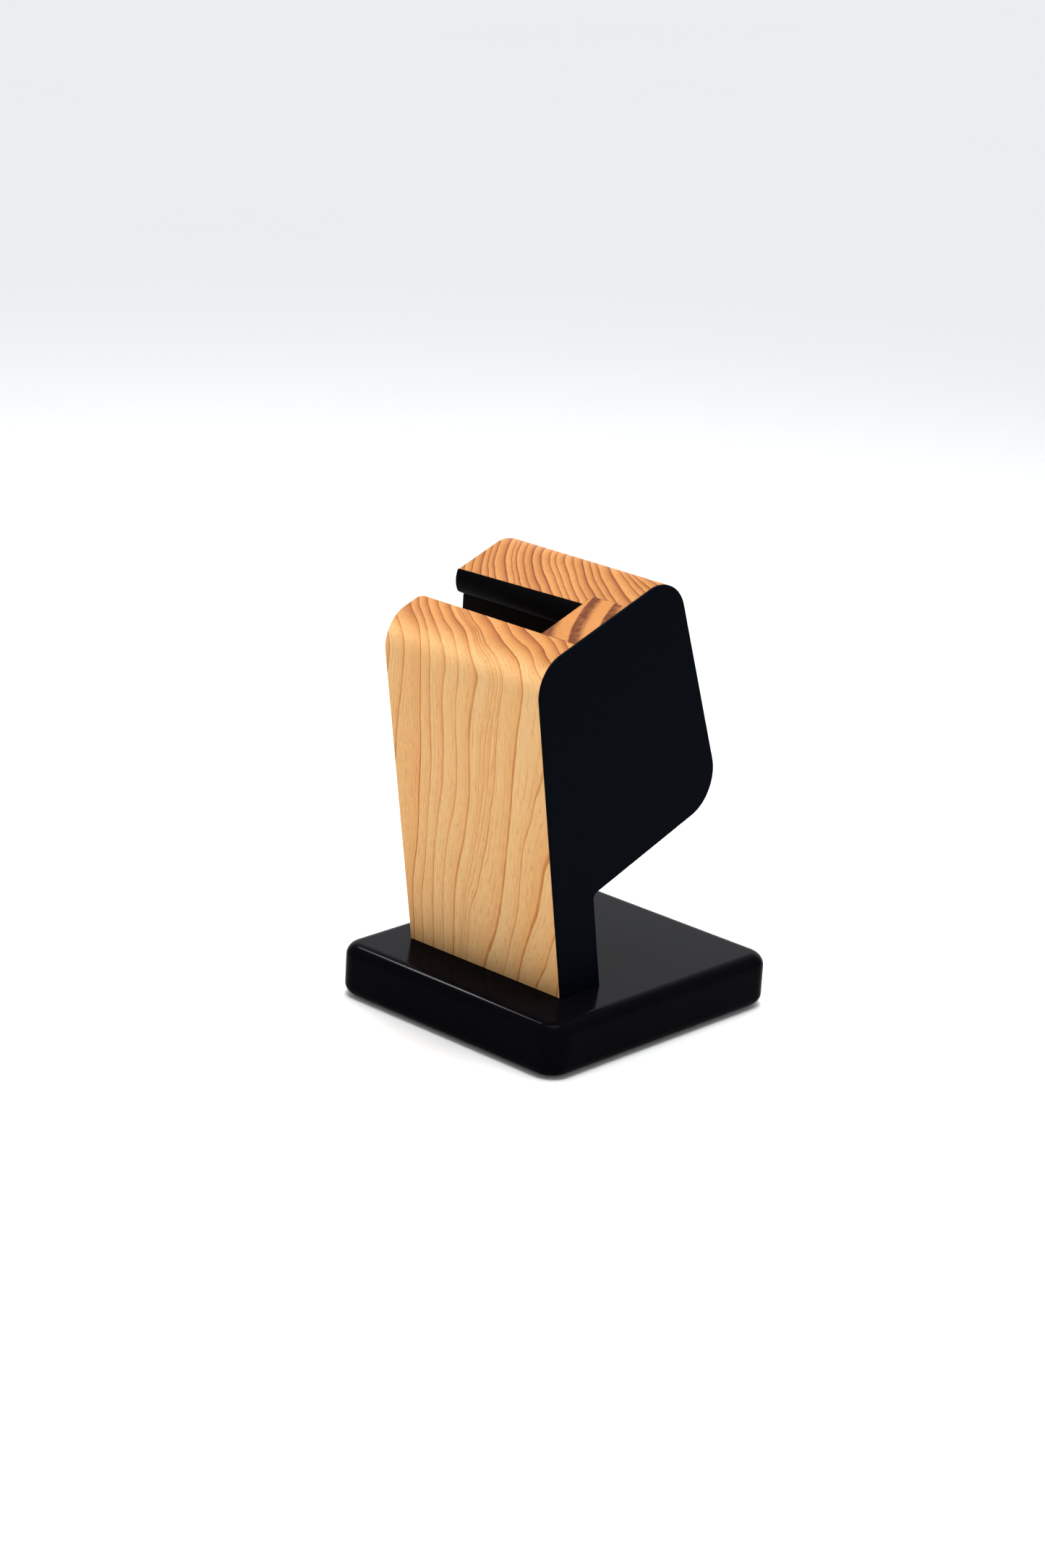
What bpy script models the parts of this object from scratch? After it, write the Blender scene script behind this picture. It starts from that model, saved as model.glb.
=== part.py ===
# Wooden phone stand: a leaning front board on a lacquered base carries a tilted head block.
# A slot between board and head is open at the top and on the left, and a bridge block closes its
# right end. A thin black laminate covers the right side. Units are metres, +Z is up, -Y is the
# front, and the origin lies under the middle of the base, on the surface that it stands on.
import math

import bmesh
import bpy
from mathutils import Matrix, Vector

for old in list(bpy.data.objects):
    bpy.data.objects.remove(old, do_unlink=True)

# ---- driving dimensions ----
GAP = 0.0003                 # clearance between neighbouring pieces

BASE_WIDTH = 0.100           # along X
BASE_DEPTH = 0.108           # along Y
BASE_TOP = 0.0186            # height of the base's top face
BASE_CORNER = 0.0080         # radius of the upright corners
BASE_TOP_EDGE = 0.0046       # radius of the top edge
BASE_BOTTOM_EDGE = 0.0036    # radius of the bottom edge

FOOT_RADIUS = 0.0065
FOOT_SHOWS = 0.0006          # how far a foot stands below the base
FOOT_SUNK = 0.0008           # depth of its recess
FOOT_EASE = 0.0003           # broken edge round its lower face
FOOT_X = 0.038
FOOT_Y = 0.042

BODY_LEFT = -0.0360          # left ends of the boards
BODY_RIGHT = 0.0324          # right ends of the boards
PANEL_THICKNESS = 0.0005     # black laminate on the right ends

BOARD_THICKNESS = 0.0180
BOARD_LEAN = math.radians(9.95)       # the board leans forward
BOARD_FRONT_Y = -0.0330               # its front face where it meets the base
FRONT_TOP_HEIGHT = 0.1330             # height of the corner between front face and top

HEAD_TILT = math.radians(19.5)        # slope of the top, and of the support face from upright
UNDERCUT_TILT = math.radians(20.4)    # slope of the head's underside
TOP_LENGTH = 0.0672                   # front corner to back corner along the sloping top
SUPPORT_LENGTH = 0.0865               # length of the slanted support face
FRONT_TOP_RADIUS = 0.0125
BACK_TOP_RADIUS = 0.0130
BACK_LOW_RADIUS = 0.0144
INNER_RADIUS = 0.0020                 # where the underside meets the board

SLOT_FLOOR = 0.0760                   # height of the slot's lined floor
SLOT_WALL_Y = -0.0165                 # lined back wall of the slot, upright
LINING_THICKNESS = 0.0010
MOUTH_RADIUS = 0.0030                 # the board's upright corner at the slot's open end
BRIDGE_LEFT = 0.0181                  # the bridge block's face in the slot
BRIDGE_BACK_Y = -0.0130               # the bridge reaches into a rebate of the head

LIP_NOSE = (-0.0201, 0.1408)          # foremost line of the rounded lip, as Y and Z
LIP_UNDER = (-0.0188, 0.1372)         # where its round front ends
LIP_BOTTOM = 0.1361                   # height of its underside at the wall
LIP_TOP_LEFT_Y = -0.0192              # its seam with the head on the sloping top, left end
LIP_TOP_RIGHT_Y = -0.0176             # the same seam at the bridge block
LIP_TONGUE = (0.0050, -0.0045)        # from that seam to the back of its tongue, in Y and Z

DOWEL_RADIUS = 0.0040
DOWEL_IN_BOARD = 0.0110
DOWEL_IN_HEAD = 0.0180
DOWEL_HEIGHT = 0.0640
DOWEL_X = 0.0200                      # either side of the board's middle
DOWEL_EASE = 0.0006                   # chamfer at a dowel's ends
PIN_RADIUS = 0.0030
PIN_IN_BOARD = 0.0100
PIN_IN_BRIDGE = 0.0130
PIN_HEIGHTS = {"lower": 0.096, "upper": 0.122}

SCREW_X = 0.0200                      # either side of the board's middle
SCREW_Y = -0.0260
SCREW_HEAD_RADIUS = 0.0042
SCREW_HEAD_Z = 0.0030                 # the head's outer face, sunk in the underside
SCREW_HEAD_RIM = 0.0003               # height of the head's straight rim
SCREW_SHANK_RADIUS = 0.0021
SCREW_CORE_RADIUS = 0.0015
SCREW_TIP_Z = 0.0480
SCREW_PITCH = 0.0021
SCREW_CROSS = (0.0038, 0.0009, 0.0016)    # length, width and depth of the driver recess

ARC_STEP = math.radians(7.5)          # largest turn between two points of a rounded corner
LIP_STEPS = 14
BASE_CORNER_STEPS = 10
BASE_TOP_STEPS = 7
BASE_BOTTOM_STEPS = 6
ROUND_SIDES = 32
SCREW_SIDES = 20
SAME = 0.000001                       # points closer than this count as one

LEAN_SLOPE = math.tan(BOARD_LEAN)
TOP_SLOPE = math.tan(HEAD_TILT)
MIDDLE_X = (BODY_LEFT + BODY_RIGHT) / 2
FAR = 0.060                           # cutters reach this far past the piece that they cut
OUTSIDE = -0.0010                     # height below the base at which its drills start

# name: (colour, roughness, metallic)
FINISHES = {
    "cypress_wood": ((0.62, 0.36, 0.15), 0.45, 0.0),
    "cypress_bridge_wood": ((0.50, 0.24, 0.09), 0.45, 0.0),
    "black_gloss_lacquer": ((0.006, 0.006, 0.007), 0.08, 0.0),
    "black_laminate": ((0.005, 0.006, 0.009), 0.40, 0.0),
    "black_lip_finish": ((0.006, 0.006, 0.007), 0.30, 0.0),
    "black_lining": ((0.004, 0.004, 0.004), 0.80, 0.0),
    "beech_dowel": ((0.60, 0.42, 0.24), 0.60, 0.0),
    "zinc_steel": ((0.62, 0.60, 0.55), 0.35, 1.0),
    "grey_rubber": ((0.03, 0.03, 0.03), 0.85, 0.0),
}


# ---- the planes that every piece is cut to, as functions in the YZ plane ----
def board_front_y(z):
    return BOARD_FRONT_Y - (z - BASE_TOP) * LEAN_SLOPE


def board_back_y(z):
    return board_front_y(z) + BOARD_THICKNESS / math.cos(BOARD_LEAN)


FRONT_TOP = (board_front_y(FRONT_TOP_HEIGHT), FRONT_TOP_HEIGHT)


def top_z(y):
    return FRONT_TOP[1] + (y - FRONT_TOP[0]) * TOP_SLOPE


BACK_TOP = (
    FRONT_TOP[0] + TOP_LENGTH * math.cos(HEAD_TILT),
    FRONT_TOP[1] + TOP_LENGTH * math.sin(HEAD_TILT),
)
BACK_LOW = (
    BACK_TOP[0] + SUPPORT_LENGTH * math.sin(HEAD_TILT),
    BACK_TOP[1] - SUPPORT_LENGTH * math.cos(HEAD_TILT),
)


def underside_z(y):
    return BACK_LOW[1] + (y - BACK_LOW[0]) * math.tan(UNDERCUT_TILT)


def meets_board_back(height_at, offset):
    """Point where the line z = height_at(y) meets the board's back face, moved back by offset."""
    low = -0.060
    high = 0.020
    for _ in range(60):
        y = (low + high) / 2
        if y < board_back_y(height_at(y)) + offset:
            low = y
        else:
            high = y
    return (y, height_at(y))


# ---- outlines ----
def rounded(corners):
    """Closed outline through (y, z, radius) corners, each rounded by an arc of its radius."""
    points = []
    count = len(corners)
    for index, (y, z, radius) in enumerate(corners):
        here = Vector((y, z))
        if radius == 0:
            points.append(here)
            continue
        to_last = (Vector(corners[index - 1][:2]) - here).normalized()
        to_next = (Vector(corners[(index + 1) % count][:2]) - here).normalized()
        half = to_last.angle(to_next) / 2
        middle = here + (to_last + to_next).normalized() * (radius / math.sin(half))
        start = here + to_last * (radius / math.tan(half)) - middle
        turn = math.pi - 2 * half
        if to_last.x * to_next.y - to_last.y * to_next.x > 0:
            turn = -turn
        steps = max(2, math.ceil(abs(turn) / ARC_STEP))
        for step in range(steps + 1):
            angle = turn * step / steps
            arm = Vector((
                start.x * math.cos(angle) - start.y * math.sin(angle),
                start.x * math.sin(angle) + start.y * math.cos(angle),
            ))
            points.append(middle + arm)
    return [(point.x, point.y) for point in points]


def arc_through(first, middle, last, steps):
    """Points of the circular arc from first through middle to last."""
    ax, ay = first
    bx, by = middle
    cx, cy = last
    d = 2 * (ax * (by - cy) + bx * (cy - ay) + cx * (ay - by))
    a2 = ax * ax + ay * ay
    b2 = bx * bx + by * by
    c2 = cx * cx + cy * cy
    ox = (a2 * (by - cy) + b2 * (cy - ay) + c2 * (ay - by)) / d
    oy = (a2 * (cx - bx) + b2 * (ax - cx) + c2 * (bx - ax)) / d
    radius = math.hypot(ax - ox, ay - oy)
    start = math.atan2(ay - oy, ax - ox)
    end = math.atan2(cy - oy, cx - ox)
    through = math.atan2(by - oy, bx - ox)
    sweep = (end - start) % math.tau
    if (through - start) % math.tau > sweep:
        sweep -= math.tau
    points = []
    for step in range(steps + 1):
        angle = start + sweep * step / steps
        points.append((ox + radius * math.cos(angle), oy + radius * math.sin(angle)))
    return points


# ---- making objects ----
def finish_object(bm, name, finish, location=(0, 0, 0)):
    """Closes the mesh outward, puts it in the scene and gives it its own material."""
    bmesh.ops.recalc_face_normals(bm, faces=bm.faces)
    mesh = bpy.data.meshes.new(name)
    bm.to_mesh(mesh)
    bm.free()
    piece = bpy.data.objects.new(name, mesh)
    piece.location = location
    bpy.context.scene.collection.objects.link(piece)
    if finish is None:
        piece.hide_render = True
        piece.display_type = "WIRE"
        return piece
    colour, roughness, metallic = FINISHES[finish]
    material = bpy.data.materials.new(name + "_" + finish)
    material.use_nodes = True
    shader = material.node_tree.nodes["Principled BSDF"]
    shader.inputs["Base Color"].default_value = (*colour, 1.0)
    shader.inputs["Roughness"].default_value = roughness
    shader.inputs["Metallic"].default_value = metallic
    mesh.materials.append(material)
    mesh.shade_smooth()
    mesh.set_sharp_from_angle(angle=math.radians(30))
    return piece


def board(name, finish, left, right, outline_at):
    """Piece between x = left and x = right; outline_at(x) gives its (y, z) outline there."""
    bm = bmesh.new()
    ends = []
    for x in (left, right):
        ends.append([bm.verts.new((x - left, y, z)) for y, z in outline_at(x)])
    bm.faces.new(ends[0])
    bm.faces.new(ends[1])
    count = len(ends[0])
    for index in range(count):
        following = (index + 1) % count
        bm.faces.new((ends[0][index], ends[0][following], ends[1][following], ends[1][index]))
    return finish_object(bm, name, finish, (left, 0, 0))


def turned(name, finish, profile, location, axis=(0, 0, 1), sides=ROUND_SIDES):
    """Round piece: (radius, height) profile spun about its own axis, which then points along axis."""
    bm = bmesh.new()
    verts = [bm.verts.new((radius, 0, height)) for radius, height in profile]
    edges = [bm.edges.new(pair) for pair in zip(verts, verts[1:])]
    bmesh.ops.spin(
        bm, geom=verts + edges, cent=(0, 0, 0), axis=(0, 0, 1),
        angle=math.tau, steps=sides, use_merge=True,
    )
    bmesh.ops.remove_doubles(bm, verts=bm.verts, dist=SAME)
    piece = finish_object(bm, name, finish, location)
    piece.rotation_euler = Vector(axis).to_track_quat("Z", "Y").to_euler()
    return piece


def block(name, size, location):
    """Box-shaped cutter."""
    bm = bmesh.new()
    bmesh.ops.create_cube(bm, size=1, matrix=Matrix.Diagonal((*size, 1)))
    return finish_object(bm, name, None, location)


def cut(piece, cutter):
    change = piece.modifiers.new("cut_" + cutter.name, "BOOLEAN")
    change.operation = "DIFFERENCE"
    change.solver = "EXACT"
    change.object = cutter


# ---- base and its feet ----
def make_base():
    under = FOOT_SHOWS
    height = BASE_TOP - under
    bm = bmesh.new()
    bmesh.ops.create_cube(bm, size=1, matrix=Matrix.Diagonal((BASE_WIDTH, BASE_DEPTH, height, 1)))
    uprights = [e for e in bm.edges if abs(e.verts[0].co.z - e.verts[1].co.z) > height / 2]
    bmesh.ops.bevel(
        bm, geom=uprights, offset=BASE_CORNER, affect="EDGES", segments=BASE_CORNER_STEPS,
        profile=0.5, material=-1,
    )
    rims = ((1, BASE_TOP_EDGE, BASE_TOP_STEPS), (-1, BASE_BOTTOM_EDGE, BASE_BOTTOM_STEPS))
    for side, radius, segments in rims:
        level = side * height / 2
        rim = [e for e in bm.edges if all(abs(v.co.z - level) < SAME for v in e.verts)]
        bmesh.ops.bevel(
            bm, geom=rim, offset=radius, affect="EDGES", segments=segments, profile=0.5, material=-1,
        )
    return finish_object(bm, "base_plate", "black_gloss_lacquer", (0, 0, under + height / 2))


def make_foot(name, x, y, base):
    thickness = FOOT_SHOWS + FOOT_SUNK - GAP
    profile = [
        (0, 0), (FOOT_RADIUS - FOOT_EASE, 0), (FOOT_RADIUS, FOOT_EASE),
        (FOOT_RADIUS, thickness), (0, thickness),
    ]
    turned(name, "grey_rubber", profile, (x, y, 0))
    recess = [
        (0, OUTSIDE), (FOOT_RADIUS + GAP, OUTSIDE),
        (FOOT_RADIUS + GAP, FOOT_SHOWS + FOOT_SUNK), (0, FOOT_SHOWS + FOOT_SUNK),
    ]
    cut(base, turned(name + "_recess", None, recess, (x, y, 0)))


# ---- wooden pieces ----
def board_outline(x):
    foot = BASE_TOP + GAP
    back_top = meets_board_back(top_z, 0)
    return rounded([
        (board_front_y(foot), foot, 0),
        (*FRONT_TOP, FRONT_TOP_RADIUS),
        (*back_top, 0),
        (board_back_y(foot), foot, 0),
    ])


def head_blank_outline(x):
    low = meets_board_back(underside_z, GAP)
    high = meets_board_back(top_z, GAP)
    return rounded([
        (*low, 0),
        (*high, 0),
        (*BACK_TOP, BACK_TOP_RADIUS),
        (*BACK_LOW, BACK_LOW_RADIUS),
    ])


def bridge_outline(x):
    low = SLOT_FLOOR - LINING_THICKNESS
    high = meets_board_back(top_z, GAP)
    return [
        (board_back_y(low) + GAP, low),
        high,
        (BRIDGE_BACK_Y, top_z(BRIDGE_BACK_Y)),
        (BRIDGE_BACK_Y, low),
    ]


def bridge_rebate_outline(x):
    floor = SLOT_FLOOR - LINING_THICKNESS - GAP
    wall = BRIDGE_BACK_Y + GAP
    return [(-FAR, floor), (-FAR, 2 * FRONT_TOP_HEIGHT), (wall, 2 * FRONT_TOP_HEIGHT), (wall, floor)]


# ---- the black lip and lining of the slot ----
def lip_seam(x):
    """The seam runs slightly askew to the slot, so it is a little further back at the right."""
    share = (x - BODY_LEFT) / (BRIDGE_LEFT - BODY_LEFT)
    y = LIP_TOP_LEFT_Y + (LIP_TOP_RIGHT_Y - LIP_TOP_LEFT_Y) * share
    return (y, top_z(y))


def lip_outline(x):
    seam = Vector(lip_seam(x))
    tongue = seam + Vector(LIP_TONGUE)
    front = arc_through(seam, LIP_NOSE, LIP_UNDER, LIP_STEPS)
    return front + [(SLOT_WALL_Y, LIP_BOTTOM), (tongue.x, LIP_BOTTOM), (tongue.x, tongue.y)]


def slot_cutter_outline(x):
    """Everything in front of the head's wall, lip rebate included, and above the slot's floor."""
    floor = SLOT_FLOOR - LINING_THICKNESS - GAP
    wall = SLOT_WALL_Y + LINING_THICKNESS + GAP
    under = LIP_BOTTOM - GAP
    seam = Vector(lip_seam(x)) + Vector((GAP, 0))
    tongue = seam + Vector(LIP_TONGUE)
    past = seam - Vector(LIP_TONGUE)
    return [
        (-FAR, floor), (-FAR, 2 * FRONT_TOP_HEIGHT), (past.x, 2 * FRONT_TOP_HEIGHT),
        (past.x, past.y), (tongue.x, tongue.y), (tongue.x, under), (wall, under), (wall, floor),
    ]


def lining_outline(x):
    low = SLOT_FLOOR - LINING_THICKNESS
    back = SLOT_WALL_Y + LINING_THICKNESS
    top = LIP_BOTTOM - GAP
    return [
        (board_back_y(low) + GAP, low),
        (board_back_y(SLOT_FLOOR) + GAP, SLOT_FLOOR),
        (SLOT_WALL_Y, SLOT_FLOOR),
        (SLOT_WALL_Y, top),
        (back, top),
        (back, low),
    ]


def panel_outline(x):
    foot = BASE_TOP + GAP
    inner = meets_board_back(underside_z, 0)
    return rounded([
        (board_front_y(foot), foot, 0),
        (*FRONT_TOP, FRONT_TOP_RADIUS),
        (*BACK_TOP, BACK_TOP_RADIUS),
        (*BACK_LOW, BACK_LOW_RADIUS),
        (*inner, INNER_RADIUS),
        (board_back_y(foot), foot, 0),
    ])


def make_mouth_cutter():
    """What rounds the board's back corner at the slot's open end, from the slot's floor up."""
    radius = MOUTH_RADIUS
    past = 4 * GAP
    outline = [(-past, past), (radius, past)]
    steps = math.ceil(math.pi / 2 / ARC_STEP)
    for step in range(steps + 1):
        angle = math.pi / 2 * (1 + step / steps)
        outline.append((radius + radius * math.cos(angle), radius * math.sin(angle) - radius))
    outline.append((-past, -radius))
    bm = bmesh.new()
    face = bm.faces.new([bm.verts.new((x, y, 0)) for x, y in outline])
    pushed = bmesh.ops.extrude_face_region(bm, geom=[face])["geom"]
    verts = [item for item in pushed if isinstance(item, bmesh.types.BMVert)]
    bmesh.ops.translate(bm, verts=verts, vec=(0, 0, 2 * FAR))
    start = (BODY_LEFT, board_back_y(SLOT_FLOOR), SLOT_FLOOR)
    cutter = finish_object(bm, "slot_mouth", None, start)
    cutter.rotation_euler = (BOARD_LEAN, 0, 0)
    return cutter


# ---- hidden fixings ----
def make_dowel(name, x, height, radius, in_board, in_other, pieces):
    """Dowel square to the board's back face, across its joint with the piece behind it."""
    along = Vector((0, math.cos(BOARD_LEAN), math.sin(BOARD_LEAN)))
    joint = Vector((x, board_back_y(height) + GAP / 2, height))
    start = joint - along * in_board
    length = in_board + in_other
    profile = [
        (0, 0), (radius - DOWEL_EASE, 0), (radius, DOWEL_EASE),
        (radius, length - DOWEL_EASE), (radius - DOWEL_EASE, length), (0, length),
    ]
    turned(name, "beech_dowel", profile, start, along)
    hole = [(0, -GAP), (radius + GAP, -GAP), (radius + GAP, length + GAP), (0, length + GAP)]
    drill = turned(name + "_hole", None, hole, start, along)
    for piece in pieces:
        cut(piece, drill)


def make_screw(name, x, base, front_board):
    """Countersunk wood screw, driven up through the base into the foot of the board."""
    cone = SCREW_HEAD_RADIUS - SCREW_SHANK_RADIUS
    seat = SCREW_HEAD_Z + SCREW_HEAD_RIM
    profile = [
        (0, SCREW_HEAD_Z), (SCREW_HEAD_RADIUS, SCREW_HEAD_Z), (SCREW_HEAD_RADIUS, seat),
        (SCREW_SHANK_RADIUS, seat + cone), (SCREW_SHANK_RADIUS, BASE_TOP),
    ]
    z = BASE_TOP + SCREW_PITCH / 2
    while z < SCREW_TIP_Z - 2 * SCREW_PITCH:
        profile.append((SCREW_CORE_RADIUS, z))
        profile.append((SCREW_SHANK_RADIUS, z + SCREW_PITCH / 2))
        z += SCREW_PITCH
    profile.append((SCREW_CORE_RADIUS, z))
    profile.append((0, SCREW_TIP_Z))
    screw = turned(name, "zinc_steel", profile, (x, SCREW_Y, 0), sides=SCREW_SIDES)
    length, width, depth = SCREW_CROSS
    for letter, size in (("a", (length, width, 2 * depth)), ("b", (width, length, 2 * depth))):
        cut(screw, block(name + "_recess_" + letter, size, (x, SCREW_Y, SCREW_HEAD_Z)))
    wide = SCREW_HEAD_RADIUS + GAP
    narrow = SCREW_SHANK_RADIUS + GAP
    hole = [
        (0, OUTSIDE), (wide, OUTSIDE), (wide, seat), (narrow, seat + wide - narrow),
        (narrow, SCREW_TIP_Z + GAP), (0, SCREW_TIP_Z + GAP),
    ]
    drill = turned(name + "_hole", None, hole, (x, SCREW_Y, 0))
    cut(base, drill)
    cut(front_board, drill)


# ---- assembly ----
base_plate = make_base()
for row, y in (("front", -FOOT_Y), ("back", FOOT_Y)):
    for side, x in (("left", -FOOT_X), ("right", FOOT_X)):
        make_foot("foot_" + row + "_" + side, x, y, base_plate)

front_board = board("front_board", "cypress_wood", BODY_LEFT, BODY_RIGHT, board_outline)
cut(front_board, make_mouth_cutter())
head_block = board("head_block", "cypress_wood", BODY_LEFT, BODY_RIGHT, head_blank_outline)
bridge_block = board("bridge_block", "cypress_bridge_wood", BRIDGE_LEFT, BODY_RIGHT, bridge_outline)
board(
    "side_panel", "black_laminate", BODY_RIGHT + GAP, BODY_RIGHT + GAP + PANEL_THICKNESS, panel_outline,
)

slot_end = BRIDGE_LEFT - GAP
cut(head_block, board("slot_space", None, BODY_LEFT - 4 * GAP, slot_end + GAP / 2, slot_cutter_outline))
cut(head_block, board("bridge_rebate", None, slot_end, BODY_RIGHT + FAR, bridge_rebate_outline))
board("slot_lip", "black_lip_finish", BODY_LEFT, slot_end, lip_outline)
board("slot_lining", "black_lining", BODY_LEFT, slot_end, lining_outline)

for side, sign in (("left", -1), ("right", 1)):
    make_dowel(
        "head_dowel_" + side, MIDDLE_X + sign * DOWEL_X, DOWEL_HEIGHT,
        DOWEL_RADIUS, DOWEL_IN_BOARD, DOWEL_IN_HEAD, (front_board, head_block),
    )
    make_screw("base_screw_" + side, MIDDLE_X + sign * SCREW_X, base_plate, front_board)
for level, height in PIN_HEIGHTS.items():
    make_dowel(
        "bridge_dowel_" + level, (BRIDGE_LEFT + BODY_RIGHT) / 2, height,
        PIN_RADIUS, PIN_IN_BOARD, PIN_IN_BRIDGE, (front_board, bridge_block),
    )
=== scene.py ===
import math

import bmesh
import bpy
from mathutils import Matrix, Vector


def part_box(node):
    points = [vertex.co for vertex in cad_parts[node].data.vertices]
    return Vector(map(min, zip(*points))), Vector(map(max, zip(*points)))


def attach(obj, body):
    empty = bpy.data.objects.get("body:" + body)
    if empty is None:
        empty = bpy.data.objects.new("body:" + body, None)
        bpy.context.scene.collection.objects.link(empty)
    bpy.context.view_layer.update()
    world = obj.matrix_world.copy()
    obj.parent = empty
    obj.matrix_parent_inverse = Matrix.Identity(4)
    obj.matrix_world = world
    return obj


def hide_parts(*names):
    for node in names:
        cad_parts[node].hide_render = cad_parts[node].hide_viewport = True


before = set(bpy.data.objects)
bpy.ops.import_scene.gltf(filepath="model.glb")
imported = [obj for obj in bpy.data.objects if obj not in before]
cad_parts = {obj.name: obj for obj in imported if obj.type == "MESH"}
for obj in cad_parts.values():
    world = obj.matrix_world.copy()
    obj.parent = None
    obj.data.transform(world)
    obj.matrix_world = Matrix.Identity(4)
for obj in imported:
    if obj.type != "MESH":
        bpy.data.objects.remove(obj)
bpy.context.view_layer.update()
scene = bpy.context.scene
print("frame loaded,", len(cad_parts), "nodes")

# shape that the wooden pieces share, in mm and degrees, as (y, z) where two numbers stand
stand = {
    "baseTop": 18.6,
    "footY": -33.0,          # front of the leaning board at the base
    "lean": 9.95,            # the board leans forward
    "boardThick": 18.0,
    "cornerZ": 133.0,        # height of the corner between front face and top
    "tilt": 19.5,            # slope of the top
    "undercut": 20.4,        # slope of the head's underside
    "topLength": 67.2,
    "supportLength": 86.5,
    "frontRound": 12.5,
    "backRound": 13.0,
    "lowRound": 14.4,
    "innerRound": 2.0,
    "roundSteps": 28,
    "left": -36.0,
    "right": 32.4,
    "seam": 0.06,            # glued joints show as hairlines
    "weld": 0.002,           # points closer than this are one
    "clearFront": -60.0,     # y and z past which cutters have nothing left to cut
    "clearTop": 260.0,
}


def mm(*values):
    if len(values) == 1:
        return values[0] / 1000
    return Vector(values) / 1000


def slope(degrees):
    return math.tan(math.radians(degrees))


def boardFront(z):
    return stand["footY"] - (z - stand["baseTop"]) * slope(stand["lean"])


def boardBack(z):
    return boardFront(z) + stand["boardThick"] / math.cos(math.radians(stand["lean"]))


def step(start, degrees, length):
    turn = math.radians(degrees)
    return (start[0] + math.cos(turn) * length, start[1] + math.sin(turn) * length)


frontTop = (boardFront(stand["cornerZ"]), stand["cornerZ"])
backTop = step(frontTop, stand["tilt"], stand["topLength"])
backLow = step(backTop, stand["tilt"] - 90, stand["supportLength"])


def topZ(y):
    return frontTop[1] + (y - frontTop[0]) * slope(stand["tilt"])


def underZ(y):
    return backLow[1] + (y - backLow[0]) * slope(stand["undercut"])


def onBoardBack(height, offset=0.0):
    # where a sloping line, given as a height for each y, meets the back of the board
    z = stand["cornerZ"]
    for tries in range(30):
        z = height(boardBack(z) + offset)
    return (boardBack(z) + offset, z)


def extruded(outline, left, right):
    # a few (y, z) corners joined to a face and pushed along x
    bm = bmesh.new()
    face = bm.faces.new([bm.verts.new(mm(left, y, z)) for y, z in outline])
    pushed = bmesh.ops.extrude_face_region(bm, geom=[face])["geom"]
    moved = [item for item in pushed if isinstance(item, bmesh.types.BMVert)]
    bmesh.ops.translate(bm, verts=moved, vec=mm(right - left, 0, 0))
    bmesh.ops.recalc_face_normals(bm, faces=bm.faces)
    return bm


def bevelled(bm, edges, offset, segments):
    bmesh.ops.bevel(
        bm, geom=edges, offset=mm(offset), offset_type="OFFSET", affect="EDGES",
        segments=segments, profile=0.5, material=-1, clamp_overlap=True,
    )


def longEdges(bm, corner):
    # the edge that runs along x through one corner of the outline
    spot = mm(0, *corner)
    edges = []
    for edge in bm.edges:
        if all((Vector((0, v.co.y, v.co.z)) - spot).length < mm(0.02) for v in edge.verts):
            edges.append(edge)
    return edges


def roundLong(bm, corner, radius, segments):
    edges = longEdges(bm, corner)
    bevelled(bm, edges, radius * math.tan(edges[0].calc_face_angle() / 2), segments)


def easeEnd(bm, x, amount, segments=3, above=-1.0):
    # takes the sharp arris off one end; edges lower than above stay sharp
    edges = []
    for edge in bm.edges:
        if any(abs(v.co.x - mm(x)) > mm(0.01) for v in edge.verts):
            continue
        if any(v.co.z > mm(above) for v in edge.verts):
            edges.append(edge)
    bevelled(bm, edges, amount, segments)


def meshFrom(bm, name):
    bmesh.ops.remove_doubles(bm, verts=bm.verts, dist=mm(stand["weld"]))
    bmesh.ops.recalc_face_normals(bm, faces=bm.faces)
    mesh = bpy.data.meshes.new(name)
    bm.to_mesh(mesh)
    bm.free()
    return mesh


def holeFor(node, room=0.25):
    # a slightly grown copy of a hidden fixing, to cut its hole with
    bm = bmesh.new()
    bm.from_mesh(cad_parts[node].data)
    bmesh.ops.remove_doubles(bm, verts=bm.verts, dist=mm(stand["weld"]))
    bmesh.ops.recalc_face_normals(bm, faces=bm.faces)
    bm.normal_update()
    grown = [(v, v.co + v.normal * mm(room)) for v in bm.verts]
    for vert, place in grown:
        vert.co = place
    return bm


def carved(mesh, cutters):
    piece = bpy.data.objects.new("carving", mesh)
    scene.collection.objects.link(piece)
    tools = []
    for bm in cutters:
        tool = bpy.data.objects.new("tool", meshFrom(bm, "tool"))
        scene.collection.objects.link(tool)
        change = piece.modifiers.new("cut", "BOOLEAN")
        change.operation = "DIFFERENCE"
        change.solver = "EXACT"
        change.object = tool
        tools.append(tool)
    ready = piece.evaluated_get(bpy.context.evaluated_depsgraph_get())
    result = bpy.data.meshes.new_from_object(ready)
    result.name = mesh.name
    for spare in [piece, *tools]:
        bpy.data.objects.remove(spare)
    return result


def sharpened(mesh, large=100):
    # keeps corners crisp, and large flat faces (in square mm) truly flat beside their roundings
    bm = bmesh.new()
    bm.from_mesh(mesh)
    for edge in bm.edges:
        turn = edge.calc_face_angle(0)
        flat = any(face.calc_area() > large / 1000000 for face in edge.link_faces)
        edge.smooth = not (turn > math.radians(28) or (flat and turn > math.radians(0.4)))
    bm.to_mesh(mesh)
    bm.free()


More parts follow.
